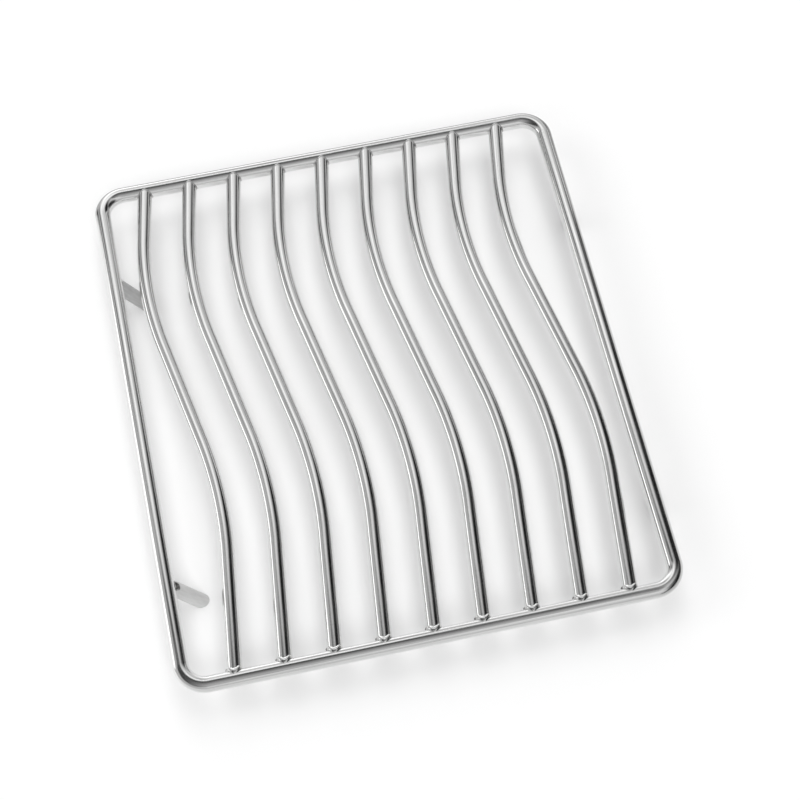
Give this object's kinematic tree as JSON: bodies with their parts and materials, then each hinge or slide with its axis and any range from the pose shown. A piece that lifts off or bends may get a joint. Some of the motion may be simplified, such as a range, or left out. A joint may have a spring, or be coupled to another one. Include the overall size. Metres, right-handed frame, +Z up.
{
  "type": "grill side burner grate",
  "caption": "Rectangular welded grate of polished round steel rod: a bent frame, S-shaped wave rods across it and leaning stub legs that carry a pan over a burner.",
  "frame": {"origin": "middle of the grate's outline, on the ground under its feet", "axes": "+X to the right across the rods, +Y from the front rail to the rear rail, +Z up"},
  "size_m": [0.2534, 0.288, 0.031],
  "materials": {
    "polished_rod": "polished stainless steel rod with fine drawing lines along its length"
  },
  "bodies": {
    "root": {"frame_rod": "polished_rod", "wave_rod_1": "polished_rod", "wave_rod_2": "polished_rod", "wave_rod_3": "polished_rod", "wave_rod_4": "polished_rod", "wave_rod_5": "polished_rod", "wave_rod_6": "polished_rod", "wave_rod_7": "polished_rod", "wave_rod_8": "polished_rod", "wave_rod_9": "polished_rod", "leg_rear_left": "polished_rod", "leg_front_left": "polished_rod", "leg_rear_right": "polished_rod", "leg_front_right": "polished_rod"}
  },
  "joints": []
}
